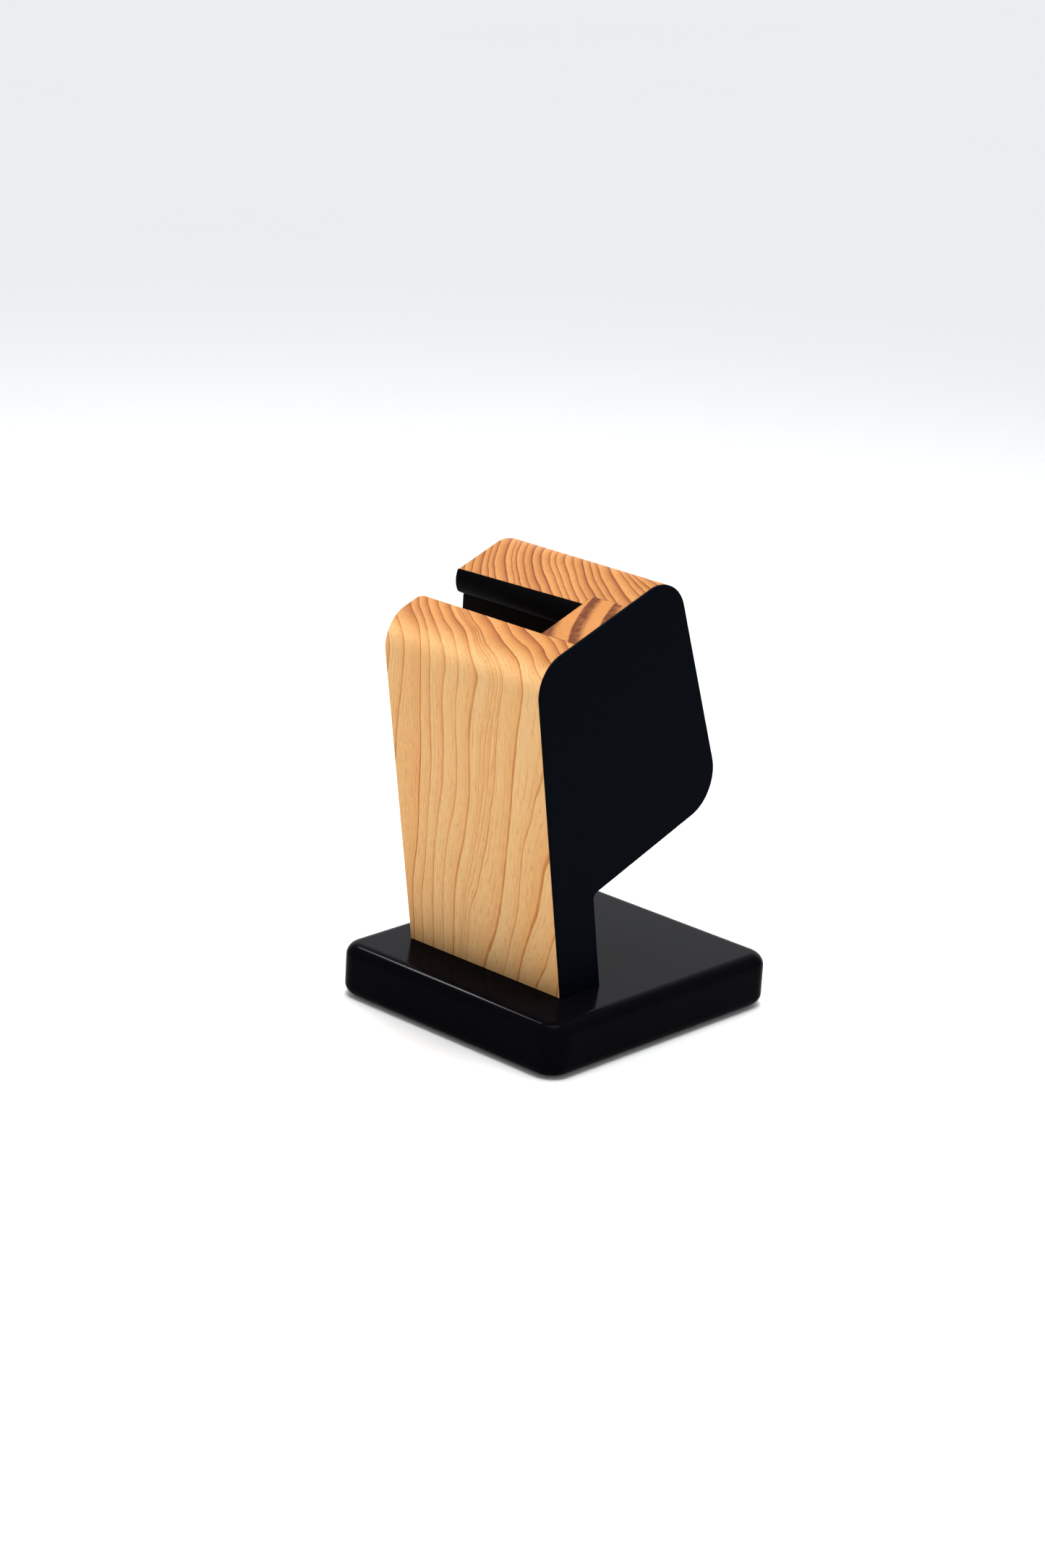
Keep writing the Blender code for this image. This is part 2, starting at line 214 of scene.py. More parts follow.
def placed(mesh, name, finish, node, cutters=()):
    # cuts the holes, smooths the shading, and stands the piece in for its CAD node
    if cutters:
        mesh = carved(mesh, cutters)
        mesh.name = name
    mesh.materials.clear()
    mesh.materials.append(finish)
    mesh.shade_smooth()
    sharpened(mesh)
    piece = bpy.data.objects.new(name, mesh)
    scene.collection.objects.link(piece)
    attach(piece, "root")
    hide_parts(node)
    return piece


class Finish:
    # a material whose nodes are added and joined in one call each
    def __init__(self, name):
        self.material = bpy.data.materials.new(name)
        self.material.use_nodes = True
        self.tree = self.material.node_tree
        self.shader = self.tree.nodes["Principled BSDF"]

    def feed(self, socket, value):
        if isinstance(value, bpy.types.NodeSocket):
            self.tree.links.new(value, socket)
        elif isinstance(value, tuple) and socket.type == "RGBA":
            socket.default_value = (*value, 1)
        else:
            socket.default_value = value

    def node(self, kind, inputs, **settings):
        made = self.tree.nodes.new("ShaderNode" + kind)
        for key, value in settings.items():
            setattr(made, key, value)
        for key, value in inputs.items():
            self.feed(made.inputs[key], value)
        return made

    def sum(self, operation, *values):
        inputs = {place: value for place, value in enumerate(values)}
        return self.node("Math", inputs, operation=operation).outputs[0]

    def vector(self, operation, first, second=(0, 0, 0)):
        made = self.node("VectorMath", {0: first, 1: second}, operation=operation)
        return made.outputs["Value" if operation in ("LENGTH", "DOT_PRODUCT") else "Vector"]

    def scaled(self, vector, factor):
        made = self.node("VectorMath", {0: vector, "Scale": factor}, operation="SCALE")
        return made.outputs["Vector"]

    def noise(self, vector, scale, detail=2.0, roughness=0.5):
        inputs = {"Vector": vector, "Scale": scale, "Detail": detail, "Roughness": roughness}
        return self.node("TexNoise", inputs)

    def ramp(self, factor, stops):
        made = self.node("ValToRGB", {"Fac": factor})
        elements = made.color_ramp.elements
        while len(elements) < len(stops):
            elements.new(0.5)
        for element, (place, value) in zip(elements, stops):
            element.position = place
            element.color = (*value, 1) if isinstance(value, tuple) else (value, value, value, 1)
        return made.outputs["Color"]

    def between(self, value, low, high, lowTo=0.0, highTo=1.0):
        inputs = {"Value": value, "From Min": low, "From Max": high, "To Min": lowTo, "To Max": highTo}
        return self.node("MapRange", inputs, interpolation_type="SMOOTHSTEP").outputs["Result"]

    def mix(self, factor, first, second, blend="MIX"):
        made = self.node("Mix", {0: factor, 6: first, 7: second}, data_type="RGBA", blend_type=blend)
        return made.outputs[2]

    def placeInMm(self):
        return self.scaled(self.node("TexCoord", {}).outputs["Object"], 1000.0)

    def bumped(self, height, strength, depth):
        made = self.node("Bump", {"Height": height, "Strength": strength, "Distance": mm(depth)})
        self.feed(self.shader.inputs["Normal"], made.outputs["Normal"])

    def set(self, **values):
        for key, value in values.items():
            self.shader.inputs[key].default_value = value


boardWood = {
    "pith": (70.0, 70.0),        # plan position of the heart of the log at the height below
    "pithHeight": 140.0,
    "pithLean": (0.020, 0.033),  # how the log leans from upright, per mm of height
    "ringWidth": 3.9,
    "ringStart": 0.0,
    "crispSide": 1,              # a dark line ends crisply towards the heart, or outwards with -1
    "tightRings": (133.6, 137.8, 3.2),  # radii between which that many more rings are squeezed in
    "unevenYears": 1.1,
    "yearScale": 0.09,
    "wander": 13.0,              # mm that the rings stray along the log, and how finely
    "wanderScale": 0.030,
    "ripple": 0.40,
    "rippleScale": 0.22,
    "lineWidth": 0.19,           # mm of dark late wood in a ring
    "lineLeast": 0.40,
    "lineSpread": 0.60,
    "breakScale": 0.5,           # how finely the lines thin out and come back along the log
    "early": (0.760, 0.484, 0.223),
    "earlyEnd": (0.475, 0.226, 0.067),
    "late": (0.430, 0.140, 0.032),
    "lateEnd": (0.130, 0.035, 0.008),
    "warm": (0.685, 0.315, 0.098),
    "warmEnd": (0.250, 0.074, 0.016),
    "shade": 0.50,               # how far a ring warms up before its dark line
    "shadeEnd": 0.90,            # the same where the log is cut across
    "shadeCurve": 1.7,           # higher keeps the warmth nearer to the line
    "endGrain": (0.35, 0.97),    # how level a face is where end grain begins, and where it is full
    "fineLines": 0.30,
    "fineCount": 1.15,           # faint lines per mm
    "fibreScale": 2.6,
    "fleckScale": 1.3,
    "fleckStrength": 0.22,
    "cloudScale": 0.07,
    "patchy": 0.26,              # how much one ring or patch differs from the next in warmth
    "roughness": 0.50,
    "relief": 0.18,
    "reliefDepth": 0.08,
    "specular": 0.025,
}
headWood = dict(boardWood, ringWidth=2.7, ringStart=0.37, tightRings=(118.0, 121.0, 0.6),
                pithLean=(0.02, 0.03), unevenYears=1.9, wander=7.0, lineWidth=0.27, lineLeast=0.40,
                lineSpread=0.80, shadeEnd=0.85, earlyEnd=(0.440, 0.205, 0.062),
                warmEnd=(0.225, 0.066, 0.014))
bridgeWood = dict(
    boardWood, pith=(70.2, -3.4), pithLean=(0.0, 0.0), ringWidth=8.86, ringStart=0.955, crispSide=-1,
    tightRings=(900.0, 901.0, 0.0), unevenYears=0.0, wander=1.2, ripple=0.5, lineWidth=2.3,
    lineLeast=0.95, lineSpread=0.1, earlyEnd=(0.430, 0.187, 0.053),
    lateEnd=(0.095, 0.020, 0.002), shadeEnd=0.25,
)


def makeCypress(name, wood):
    # one solid pattern through the whole piece: growth rings round the heart of the log
    wooden = Finish(name)
    place = wooden.placeInMm()
    height = wooden.node("SeparateXYZ", {"Vector": place}).outputs["Z"]
    rise = wooden.sum("SUBTRACT", height, wood["pithHeight"])
    leanX = wooden.sum("MULTIPLY_ADD", rise, wood["pithLean"][0], -wood["pith"][0])
    leanY = wooden.sum("MULTIPLY_ADD", rise, wood["pithLean"][1], -wood["pith"][1])
    lean = wooden.node("CombineXYZ", {"X": leanX, "Y": leanY}).outputs["Vector"]
    fromPith = wooden.vector("ADD", place, lean)

    # the rings wander slowly along the log and ripple a little
    middle = (0.5, 0.5, 0.5)
    slow = wooden.noise(wooden.vector("MULTIPLY", fromPith, (1, 1, 0.30)), wood["wanderScale"], detail=1.5)
    shift = wooden.scaled(wooden.vector("SUBTRACT", slow.outputs["Color"], middle), wood["wander"])
    quick = wooden.noise(wooden.vector("MULTIPLY", fromPith, (1, 1, 0.14)), wood["rippleScale"])
    ripple = wooden.scaled(wooden.vector("SUBTRACT", quick.outputs["Color"], middle), wood["ripple"])
    moved = wooden.vector("ADD", wooden.vector("ADD", fromPith, shift), ripple)
    radius = wooden.vector("LENGTH", wooden.vector("MULTIPLY", moved, (1, 1, 0)))

    # rings are counted outward, with wide and narrow years
    years = wooden.node("TexNoise", {"W": radius, "Scale": wood["yearScale"], "Detail": 1.0},
                        noise_dimensions="1D")
    uneven = wooden.sum("MULTIPLY", years.outputs["Fac"], wood["unevenYears"])
    low, high, extra = wood["tightRings"]
    tight = wooden.between(radius, low, high, 0.0, extra)
    count = wooden.sum("MULTIPLY_ADD", radius, wood["crispSide"] / wood["ringWidth"], wood["ringStart"])
    count = wooden.sum("ADD", wooden.sum("ADD", count, uneven), tight)
    phase = wooden.sum("SUBTRACT", 1.0, wooden.sum("FRACT", count))
    year = wooden.node("TexWhiteNoise", {"W": wooden.sum("FLOOR", count)}, noise_dimensions="1D")
    yearly = year.outputs["Value"]

    # each ring warms up slowly, ends in a dark line and stops short
    lineShare = wood["lineWidth"] / wood["ringWidth"]
    core = wooden.between(phase, 1 - 2.4 * lineShare, 1 - lineShare)
    stop = wooden.between(phase, 1 - 0.35 * lineShare, 1.0, 1.0, 0.0)
    late = wooden.sum("MULTIPLY", core, stop)
    warming = wooden.sum("MULTIPLY", wooden.sum("POWER", phase, wood["shadeCurve"]), stop)
    stretched = wooden.vector("MULTIPLY", moved, (1, 1, 0.05))
    broken = wooden.noise(stretched, wood["breakScale"], detail=3.0).outputs["Fac"]
    strength = wooden.sum("MULTIPLY_ADD", yearly, wood["lineSpread"], wood["lineLeast"])
    strength = wooden.sum("MULTIPLY", strength, wooden.sum("MULTIPLY_ADD", broken, 1.2, 0.4))
    line = wooden.sum("MINIMUM", wooden.sum("MULTIPLY", late, strength), 1.0)

    # faint lines between the rings, closer together
    closeCount = wooden.sum("MULTIPLY_ADD", radius, wood["fineCount"], wooden.sum("MULTIPLY", broken, 1.4))
    fine = wooden.between(wooden.sum("PINGPONG", closeCount, 0.5), 0.30, 0.50)
    fine = wooden.sum("MULTIPLY", fine, wooden.between(broken, 0.40, 0.62))

    # fibres run along the log, and show as pores where it is cut across
    drawn = wooden.vector("MULTIPLY", moved, (1, 1, 0.025))
    fibre = wooden.noise(drawn, wood["fibreScale"], detail=4.0, roughness=0.65).outputs["Fac"]
    fleck = wooden.noise(wooden.vector("MULTIPLY", moved, (1, 1, 0.06)), wood["fleckScale"]).outputs["Fac"]
    fleck = wooden.ramp(fleck, [(0.62, 0.0), (0.74, 1.0)])
    cloud = wooden.noise(wooden.vector("MULTIPLY", moved, (1, 1, 0.2)), wood["cloudScale"]).outputs["Fac"]
    normal = wooden.node("NewGeometry", {}).outputs["Normal"]
    upright = wooden.sum("ABSOLUTE", wooden.vector("DOT_PRODUCT", normal, (0, 0, 1)))
    endGrain = wooden.between(upright, *wood["endGrain"])

    early = wooden.mix(endGrain, wood["early"], wood["earlyEnd"])
    dark = wooden.mix(endGrain, wood["late"], wood["lateEnd"])
    tone = wooden.sum("MULTIPLY", wooden.sum("ADD", yearly, cloud), wood["patchy"])
    shade = wooden.between(endGrain, 0.0, 1.0, wood["shade"], wood["shadeEnd"])
    tone = wooden.sum("MINIMUM", wooden.sum("MULTIPLY_ADD", warming, shade, tone), 1.0)
    body = wooden.mix(tone, early, wooden.mix(endGrain, wood["warm"], wood["warmEnd"]))
    colour = wooden.mix(line, body, dark)
    colour = wooden.mix(wooden.sum("MULTIPLY", fine, wood["fineLines"]), colour, dark)
    colour = wooden.mix(wooden.sum("MULTIPLY", fleck, wood["fleckStrength"]), colour, dark)
    grey = wooden.ramp(fibre, [(0.28, 0.86), (0.72, 1.06)])
    wooden.feed(wooden.shader.inputs["Base Color"], wooden.mix(1.0, colour, grey, "MULTIPLY"))

    rough = wooden.sum("MULTIPLY_ADD", fibre, 0.14, wood["roughness"])
    rough = wooden.sum("MULTIPLY_ADD", line, -0.08, rough)
    wooden.feed(wooden.shader.inputs["Roughness"], rough)
    relief = wooden.sum("MULTIPLY_ADD", line, 0.5, wooden.sum("MULTIPLY", fibre, 0.5))
    wooden.bumped(relief, wood["relief"], wood["reliefDepth"])
    wooden.set(**{"Specular IOR Level": wood["specular"]})
    return wooden.material


coats = {
    "hazeScale": 0.035,
    "speckScale": 2.4,
    "peelDepth": 0.05,
}


def makeBlack(name, finish):
    # black coatings: a slow haze, fine specks and a faint unevenness of the surface
    black = Finish(name)
    place = black.placeInMm()
    haze = black.noise(place, coats["hazeScale"], detail=3.0).outputs["Fac"]
    speck = black.noise(place, coats["speckScale"]).outputs["Fac"]
    black.feed(black.shader.inputs["Base Color"], black.mix(haze, finish["dark"], finish["light"]))
    rough = black.sum("MULTIPLY_ADD", haze, finish["hazeRough"], finish["roughness"])
    rough = black.sum("MULTIPLY_ADD", speck, finish["speckRough"], rough)
    black.feed(black.shader.inputs["Roughness"], rough)
    uneven = black.noise(place, finish["peelScale"], detail=1.0).outputs["Fac"]
    black.bumped(uneven, finish["peel"], coats["peelDepth"])
    black.set(**{"Specular IOR Level": finish["specular"]})
    return black.material


base = {
    "corner": 8.0,
    "cornerSteps": 24,
    "topEdge": 4.6,
    "bottomEdge": 3.6,
    "edgeSteps": 14,
    "dark": (0.0016, 0.0016, 0.0024),
    "light": (0.0022, 0.0022, 0.0032),
    "roughness": 0.11,
    "hazeRough": 0.04,
    "speckRough": 0.03,
    "peelScale": 0.10,
    "peel": 0.08,
    "specular": 0.0058,
}


def makeBase():
    low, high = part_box("base_plate")
    size = high - low
    bm = bmesh.new()
    place = Matrix.Translation((low + high) / 2) @ Matrix.Diagonal((*size, 1))
    bmesh.ops.create_cube(bm, size=1, matrix=place)
    uprights = [e for e in bm.edges if abs(e.verts[0].co.z - e.verts[1].co.z) > size.z / 2]
    bevelled(bm, uprights, base["corner"], base["cornerSteps"])
    for level, radius in ((high.z, base["topEdge"]), (low.z, base["bottomEdge"])):
        rim = [e for e in bm.edges if all(abs(v.co.z - level) < mm(0.001) for v in e.verts)]
        bevelled(bm, rim, radius, base["edgeSteps"])
    holes = [holeFor(node) for node in (
        "base_screw_left", "base_screw_right",
        "foot_front_left", "foot_front_right", "foot_back_left", "foot_back_right",
    )]
    lacquer = makeBlack("glossLacquer", base)
    return placed(meshFrom(bm, "base"), "base", lacquer, "base_plate", holes)


makeBase()
print("base made")

slot = {
    "floor": 76.0,
    "wall": -16.5,           # y of the lined wall
    "lining": 1.0,
    "end": 18.1,             # x of the bridge block's face
    "bridgeBack": -13.0,     # y that the bridge reaches back to
    "lipBottom": 136.1,
    "lipUnder": (-18.8, 137.2),
    "lipNose": (-21.32, 140.98),     # corner that is rounded off to the lip's front
    "seamLeft": -19.2,       # y of the seam between lip and head, at the left end
    "seamRight": -17.6,
    "tongue": (5.0, -4.5),   # from that seam to the back of the lip's tongue
    "lipGap": 0.10,
    "openPast": 1.2,         # its cutter runs this far out of the open end
    "rebatePast": 10.0,
}

board = {
    "foot": 0.1,             # clear of the base
    "sharp": 0.05,           # edges lower than this above the foot stay sharp
    "leftEase": 0.7,
    "rightEase": 0.22,
    "slotEase": 0.35,
    "mouth": 3.0,            # radius of the upright corner at the slot's open end
    "mouthHeight": 90.0,     # height of its cutter, which reaches past the top
    "mouthPast": 2.0,        # how far that cutter stands off the faces
}


def slotMouth(radius):
    # what is taken off the board's back corner to round it, from the slot's floor up
    past = board["mouthPast"]
    corner = [(-past, past), (radius, past), (radius, 0), (0, 0), (0, -radius), (-past, -radius)]
    bm = extruded(corner, 0, board["mouthHeight"])
    roundLong(bm, (0, 0), radius, 10)
    lean = math.radians(stand["lean"])
    upright = Vector((0, -math.sin(lean), math.cos(lean)))
    backward = Vector((0, math.cos(lean), math.sin(lean)))
    turned = Matrix((upright, Vector((1, 0, 0)), backward)).transposed().to_4x4()
    floor = slot["floor"]
    start = Matrix.Translation(mm(stand["left"], boardBack(floor), floor))
    bmesh.ops.transform(bm, matrix=start @ turned, verts=bm.verts)
    return bm


def makeBoard():
    foot = stand["baseTop"] + board["foot"]
    slotEdge = onBoardBack(topZ)
    outline = [(boardFront(foot), foot), frontTop, slotEdge, (boardBack(foot), foot)]
    bm = extruded(outline, stand["left"], stand["right"])
    roundLong(bm, frontTop, stand["frontRound"], stand["roundSteps"])
    roundLong(bm, slotEdge, board["slotEase"], 3)
    easeEnd(bm, stand["left"], board["leftEase"], 4, above=foot + board["sharp"])
    easeEnd(bm, stand["right"], board["rightEase"], 2, above=foot + board["sharp"])
    holes = [holeFor(node) for node in (
        "head_dowel_left", "head_dowel_right", "bridge_dowel_lower", "bridge_dowel_upper",
        "base_screw_left", "base_screw_right",
    )]
    holes.append(slotMouth(board["mouth"]))
    wood = makeCypress("boardCypress", boardWood)
    return placed(meshFrom(bm, "board"), "board", wood, "front_board", holes)


makeBoard()
print("front board made")


def slotSpace():
    # everything in front of the head's wall and above the slot's floor, the lip's rebate included
    gap = slot["lipGap"]
    floor = slot["floor"] - slot["lining"] - gap
    wall = slot["wall"] + slot["lining"] + gap
    under = slot["lipBottom"] - gap
    seam = Vector((slot["seamLeft"] + gap, topZ(slot["seamLeft"])))
    inner = seam + Vector(slot["tongue"])
    outer = seam - Vector(slot["tongue"])
    front = stand["clearFront"]
    top = stand["clearTop"]
    outline = [
        (front, floor), (front, top), (outer.x, top), tuple(outer), tuple(inner), (inner.x, under),
        (wall, under), (wall, floor),
    ]
    left = stand["left"] - slot["openPast"]
    bm = extruded(outline, left, slot["end"] - gap / 2)
    share = (slot["end"] - left) / (slot["end"] - stand["left"])
    askew = (slot["seamRight"] - slot["seamLeft"]) * share
    rise = askew * slope(stand["tilt"])
    bm.verts.ensure_lookup_table()
    moves = {(outer.x, top): 0, tuple(outer): rise, tuple(inner): rise, (inner.x, under): 0}
    for (y, z), up in moves.items():
        for vert in bm.verts:
            if (vert.co - mm(slot["end"] - gap / 2, y, z)).length < mm(0.01):
                vert.co += mm(0, askew, up)
                break
    return bm


def bridgeRebate():
    gap = stand["seam"]
    floor = slot["floor"] - slot["lining"] - gap
    wall = slot["bridgeBack"] + gap
    front = stand["clearFront"]
    top = stand["clearTop"]
    outline = [(front, floor), (front, top), (wall, top), (wall, floor)]
    return extruded(outline, slot["end"] - gap, stand["right"] + slot["rebatePast"])


head = {
    "leftEase": 0.7,
    "rightEase": 0.22,
}


def makeHead():
    low = onBoardBack(underZ, stand["seam"])
    high = onBoardBack(topZ, stand["seam"])
    bm = extruded([low, high, backTop, backLow], stand["left"], stand["right"])
    roundLong(bm, backTop, stand["backRound"], stand["roundSteps"])
    roundLong(bm, backLow, stand["lowRound"], stand["roundSteps"])
    easeEnd(bm, stand["left"], head["leftEase"], 4)
    easeEnd(bm, stand["right"], head["rightEase"], 2)
    cuts = [slotSpace(), bridgeRebate(), holeFor("head_dowel_left"), holeFor("head_dowel_right")]
    wood = makeCypress("headCypress", headWood)
    return placed(meshFrom(bm, "head"), "head", wood, "head_block", cuts)


makeHead()
print("head block made")

bridge = {
    "ease": 0.2,
}


def makeBridge():
    gap = stand["seam"]
    low = slot["floor"] - slot["lining"]
    high = onBoardBack(topZ, gap)
    back = slot["bridgeBack"]
    outline = [(boardBack(low) + gap, low), high, (back, topZ(back)), (back, low)]
    bm = extruded(outline, slot["end"], stand["right"])
    easeEnd(bm, slot["end"], bridge["ease"], 3)
    holes = [holeFor("bridge_dowel_lower"), holeFor("bridge_dowel_upper")]
    wood = makeCypress("bridgeCypress", bridgeWood)
    return placed(meshFrom(bm, "bridge"), "bridge", wood, "bridge_block", holes)


makeBridge()
print("bridge block made")

lip = {
    "nose": 4.3,             # how much of the front corner its rounding takes
    "endEase": 0.9,
    "bridgeGap": 0.1,
    "dark": (0.0012, 0.0012, 0.0016),
    "light": (0.0018, 0.0018, 0.0023),
    "roughness": 0.24,
    "hazeRough": 0.05,
    "speckRough": 0.06,
    "peelScale": 0.5,
    "peel": 0.10,
    "specular": 0.008,
}


def makeLip():
    left = stand["left"]
    right = slot["end"] - lip["bridgeGap"]
    seam = Vector((slot["seamLeft"], topZ(slot["seamLeft"])))
    inner = seam + Vector(slot["tongue"])
    bottom = slot["lipBottom"]
    outline = [
        tuple(seam), slot["lipNose"], slot["lipUnder"],
        (slot["wall"], bottom), (inner.x, bottom), tuple(inner),
    ]
    bm = extruded(outline, left, right)
    askew = slot["seamRight"] - slot["seamLeft"]
    rise = askew * slope(stand["tilt"])
    for (y, z), up in {tuple(seam): rise, tuple(inner): rise, (inner.x, bottom): 0}.items():
        for vert in bm.verts:
            if (vert.co - mm(right, y, z)).length < mm(0.01):
                vert.co += mm(0, askew, up)
                break
    bevelled(bm, longEdges(bm, slot["lipNose"]), lip["nose"], 16)
    easeEnd(bm, left, lip["endEase"], 5)
    coat = makeBlack("lipCoat", lip)
    return placed(meshFrom(bm, "lip"), "lip", coat, "slot_lip")


makeLip()

lining = {
    "inset": 0.3,            # set back from the open end
    "gap": 0.1,              # clear of the lip and the bridge block
    "ease": 0.2,
    "dark": (0.0026, 0.0026, 0.0026),
    "light": (0.0036, 0.0036, 0.0036),
    "roughness": 0.75,
    "hazeRough": 0.05,
    "speckRough": 0.12,
    "peelScale": 3.0,
    "peel": 0.4,
    "specular": 0.02,
}


def makeLining():
    low = slot["floor"] - slot["lining"]
    top = slot["lipBottom"] - lining["gap"]
    back = slot["wall"] + slot["lining"]
    gap = stand["seam"]
    outline = [
        (boardBack(low) + gap, low), (boardBack(slot["floor"]) + gap, slot["floor"]),
        (slot["wall"], slot["floor"]), (slot["wall"], top), (back, top), (back, low),
    ]
    left = stand["left"] + lining["inset"]
    bm = extruded(outline, left, slot["end"] - lining["gap"])
    easeEnd(bm, left, lining["ease"], 2)
    cloth = makeBlack("slotLining", lining)
    return placed(meshFrom(bm, "lining"), "lining", cloth, "slot_lining")


makeLining()
print("lip and lining made")

panel = {
    "edge": 0.12,
    "dark": (0.0009, 0.0017, 0.0035),
    "light": (0.0013, 0.0022, 0.0042),
    "roughness": 0.40,
    "hazeRough": 0.06,
    "speckRough": 0.10,
    "peelScale": 1.6,
    "peel": 0.12,
    "specular": 0.007,
}


def makePanel():
    low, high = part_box("side_panel")
    left = stand["right"] + stand["seam"]
    right = high.x * 1000
    foot = stand["baseTop"] + board["foot"]
    inner = onBoardBack(underZ)
    outline = [
        (boardFront(foot), foot), frontTop, backTop, backLow, inner, (boardBack(foot), foot),
    ]
    bm = extruded(outline, left, right)
    for corner, radius in (
        (frontTop, stand["frontRound"]), (backTop, stand["backRound"]), (backLow, stand["lowRound"]),
        (inner, stand["innerRound"]),
    ):
        roundLong(bm, corner, radius, stand["roundSteps"])
    easeEnd(bm, right, panel["edge"], 2, above=foot + board["sharp"])
    laminate = makeBlack("sideLaminate", panel)
    return placed(meshFrom(bm, "sidePanel"), "sidePanel", laminate, "side_panel")


makePanel()
print("side panel made")


dowels = {
    "dark": (0.46, 0.29, 0.15),
    "light": (0.64, 0.45, 0.27),
    "grain": (1, 0.08, 1),       # stretch along the dowel
    "grainScale": 2.2,
    "roughness": 0.5,
    "roughSpread": 0.2,
    "relief": 0.2,
    "reliefDepth": 0.05,
}
screws = {
    "dark": (0.50, 0.49, 0.45),
    "light": (0.68, 0.66, 0.60),
    "patchScale": 1.1,
    "roughness": 0.22,
    "roughSpread": 0.25,
}
feet = {
    "dark": (0.020, 0.020, 0.021),
    "light": (0.036, 0.036, 0.037),
    "gritScale": 2.5,
    "roughness": 0.7,
    "roughSpread": 0.2,
    "relief": 0.3,
    "reliefDepth": 0.05,
}


def makeBeech():
    beech = Finish("beechDowel")
    place = beech.vector("MULTIPLY", beech.placeInMm(), dowels["grain"])
    fleck = beech.noise(place, dowels["grainScale"], detail=3.0).outputs["Fac"]
    colour = beech.ramp(fleck, [(0.3, dowels["dark"]), (0.7, dowels["light"])])
    beech.feed(beech.shader.inputs["Base Color"], colour)
    rough = beech.sum("MULTIPLY_ADD", fleck, dowels["roughSpread"], dowels["roughness"])
    beech.feed(beech.shader.inputs["Roughness"], rough)
    beech.bumped(fleck, dowels["relief"], dowels["reliefDepth"])
    return beech.material


def makeZinc():
    zinc = Finish("zincPlate")
    patch = zinc.noise(zinc.placeInMm(), screws["patchScale"], detail=3.0).outputs["Fac"]
    colour = zinc.ramp(patch, [(0.3, screws["dark"]), (0.7, screws["light"])])
    zinc.feed(zinc.shader.inputs["Base Color"], colour)
    rough = zinc.sum("MULTIPLY_ADD", patch, screws["roughSpread"], screws["roughness"])
    zinc.feed(zinc.shader.inputs["Roughness"], rough)
    zinc.set(Metallic=1.0)
    return zinc.material


def makeRubber():
    rubber = Finish("rubberFoot")
    grit = rubber.noise(rubber.placeInMm(), feet["gritScale"]).outputs["Fac"]
    colour = rubber.ramp(grit, [(0.3, feet["dark"]), (0.7, feet["light"])])
    rubber.feed(rubber.shader.inputs["Base Color"], colour)
    rough = rubber.sum("MULTIPLY_ADD", grit, feet["roughSpread"], feet["roughness"])
    rubber.feed(rubber.shader.inputs["Roughness"], rough)
    rubber.bumped(grit, feet["relief"], feet["reliefDepth"])
    return rubber.material


fixings = {
    "dowel": makeBeech(),
    "screw": makeZinc(),
    "foot": makeRubber(),
}
for name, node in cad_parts.items():
    for word, material in fixings.items():
        if word in name:
            node.data.materials.clear()
            node.data.materials.append(material)
print("feet, dowels and screws given their finishes")

studio = {
    # the floor's near colour is painted shade: darker round the stand's foot than the plain floor further
    # off
    "floorPaintedShade": (0.68, 0.68, 0.68),
    "floorFar": (0.81, 0.81, 0.81),
    "floorShadeReach": (80, 350),         # mm from the stand between which the painted shade round its foot gives way to the paler floor
    "floorMottle": (0.985, 0.985, 0.985),
    "air": (0.96, 0.98, 1.00),
    "airFront": 0.68,
    "airBack": 3.2,
    "back": (-0.66, 0.73, 0.33),     # direction in which the air is brightest
    "backReach": (0.55, 0.95),       # cosines of the angles from it where brightening starts and ends
    "aim": (0, 0, 0.07),
    "floorSize": 30,
    "floorMottleScale": 0.004,
    "overheadPlace": (0.0, 0.0, 1.15),
    "overheadSize": 0.7,
    "overheadSpread": 78,
    "overheadPower": 4.6,
    "glintPlace": (-1.0, 0.03, 1.27),
    "glintSize": 0.22,
    "glintPower": 34.0,
    "lens": 86.3676,
    "camera": (0.78573876, -0.87450665, 0.4776284),
    "turn": (71.081, -3.063, 43.69),
}


def makeFloor():
    bm = bmesh.new()
    bmesh.ops.create_grid(bm, x_segments=1, y_segments=1, size=studio["floorSize"])
    floor = bpy.data.objects.new("floor", meshFrom(bm, "floor"))
    scene.collection.objects.link(floor)
    paper = Finish("floorPaper")
    place = paper.placeInMm()
    # painted shade: the floor's colour darkens towards the stand, standing in for the shadow round its foot
    away = paper.between(paper.vector("LENGTH", place), *studio["floorShadeReach"])
    floorWithShade = paper.mix(away, studio["floorPaintedShade"], studio["floorFar"])
    mottle = paper.noise(place, studio["floorMottleScale"]).outputs["Fac"]
    shade = paper.mix(mottle, (1.0, 1.0, 1.0), studio["floorMottle"])
    paper.feed(paper.shader.inputs["Base Color"], paper.mix(1.0, floorWithShade, shade, "MULTIPLY"))
    paper.set(**{"Roughness": 0.9, "Specular IOR Level": 0.0})
    floor.data.materials.append(paper.material)


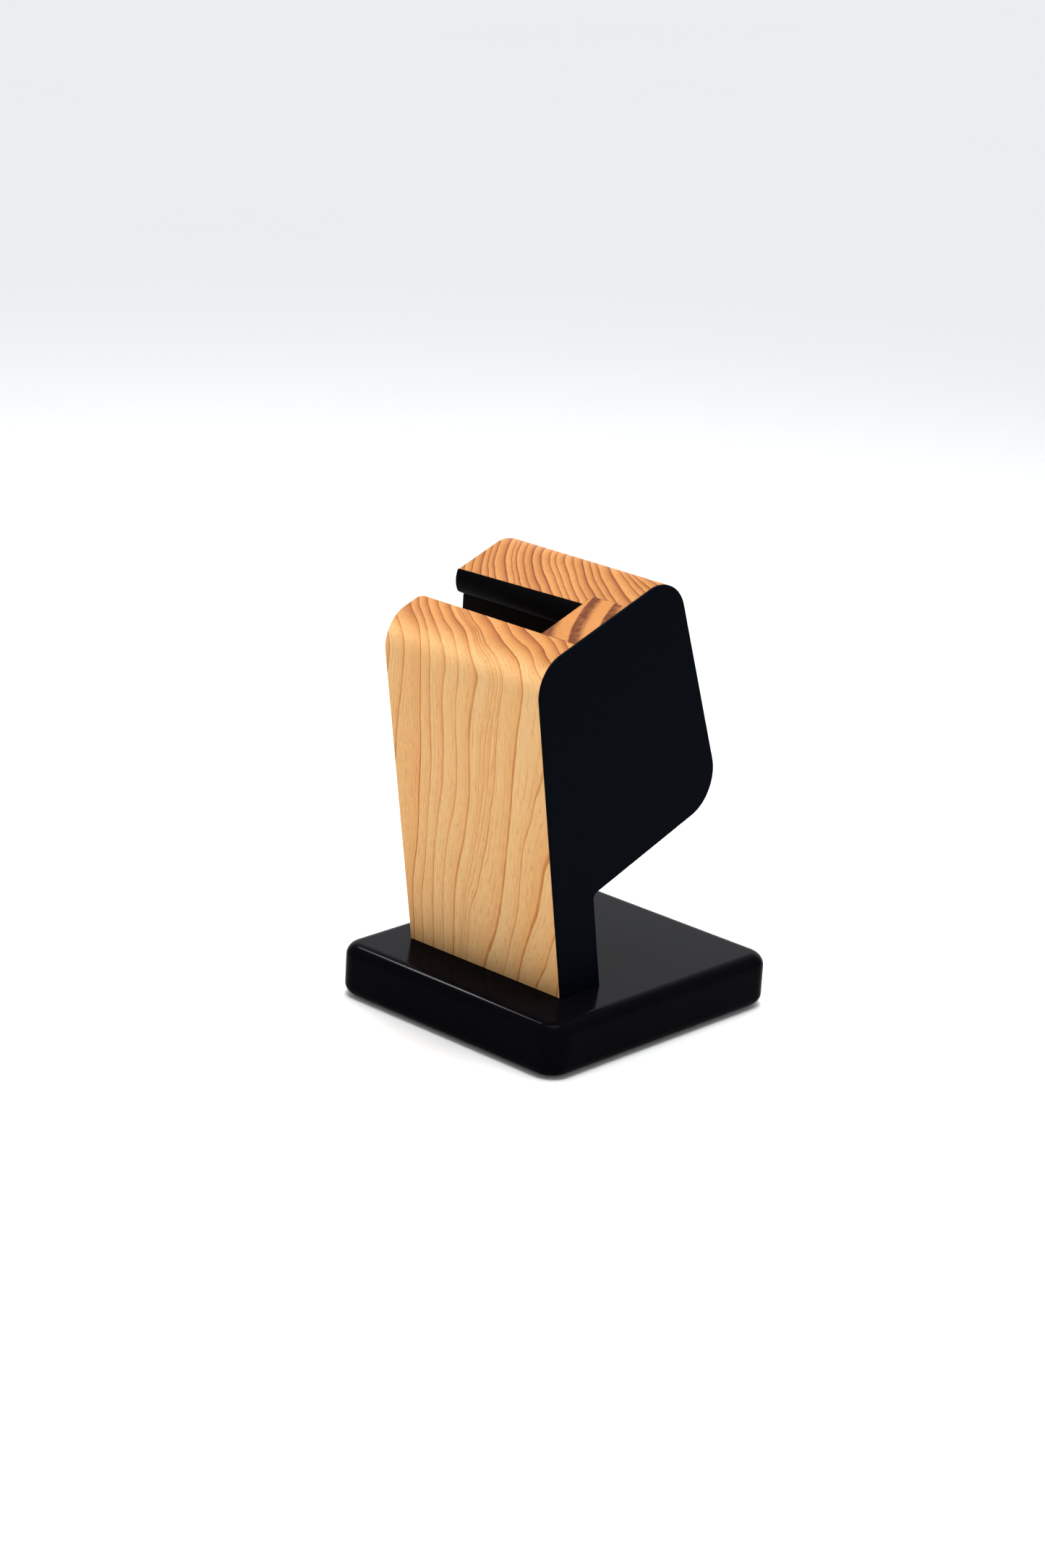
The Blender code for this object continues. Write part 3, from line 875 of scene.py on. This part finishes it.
def makeAir():
    world = bpy.data.worlds.new("studioAir")
    world.use_nodes = True
    scene.world = world
    tree = world.node_tree
    background = tree.nodes["Background"]
    background.inputs["Color"].default_value = (*studio["air"], 1)
    coordinates = tree.nodes.new("ShaderNodeTexCoord")
    toward = tree.nodes.new("ShaderNodeVectorMath")
    toward.operation = "DOT_PRODUCT"
    toward.inputs[1].default_value = Vector(studio["back"]).normalized()
    spread = tree.nodes.new("ShaderNodeMapRange")
    spread.interpolation_type = "SMOOTHSTEP"
    spread.inputs["From Min"].default_value = studio["backReach"][0]
    spread.inputs["From Max"].default_value = studio["backReach"][1]
    spread.inputs["To Min"].default_value = studio["airFront"]
    spread.inputs["To Max"].default_value = studio["airBack"]
    tree.links.new(coordinates.outputs["Generated"], toward.inputs[0])
    tree.links.new(toward.outputs["Value"], spread.inputs["Value"])
    tree.links.new(spread.outputs["Result"], background.inputs["Strength"])


def makeSoftbox(name, place, size, power):
    lamp = bpy.data.lights.new(name, "AREA")
    lamp.shape = "SQUARE"
    lamp.size = size
    lamp.energy = power
    holder = bpy.data.objects.new(name, lamp)
    scene.collection.objects.link(holder)
    holder.location = place
    holder.rotation_euler = (Vector(studio["aim"]) - Vector(place)).to_track_quat("-Z", "Y").to_euler()
    return holder


def makeCamera():
    lens = bpy.data.cameras.new("camera")
    lens.sensor_fit = "AUTO"
    lens.sensor_width = 36
    lens.lens = studio["lens"]
    lens.clip_start = 0.01
    lens.clip_end = 100
    holder = bpy.data.objects.new("camera", lens)
    scene.collection.objects.link(holder)
    holder.location = studio["camera"]
    holder.rotation_euler = [math.radians(angle) for angle in studio["turn"]]
    scene.camera = holder


makeFloor()
makeAir()
overhead = makeSoftbox("overhead", studio["overheadPlace"], studio["overheadSize"], studio["overheadPower"])
overhead.data.spread = math.radians(studio["overheadSpread"])
glint = makeSoftbox("glint", studio["glintPlace"], studio["glintSize"], studio["glintPower"])
glint.visible_diffuse = False    # it only draws the bright lines along the lacquered edges
makeCamera()
scene.view_settings.view_transform = "Standard"
print("studio ready")
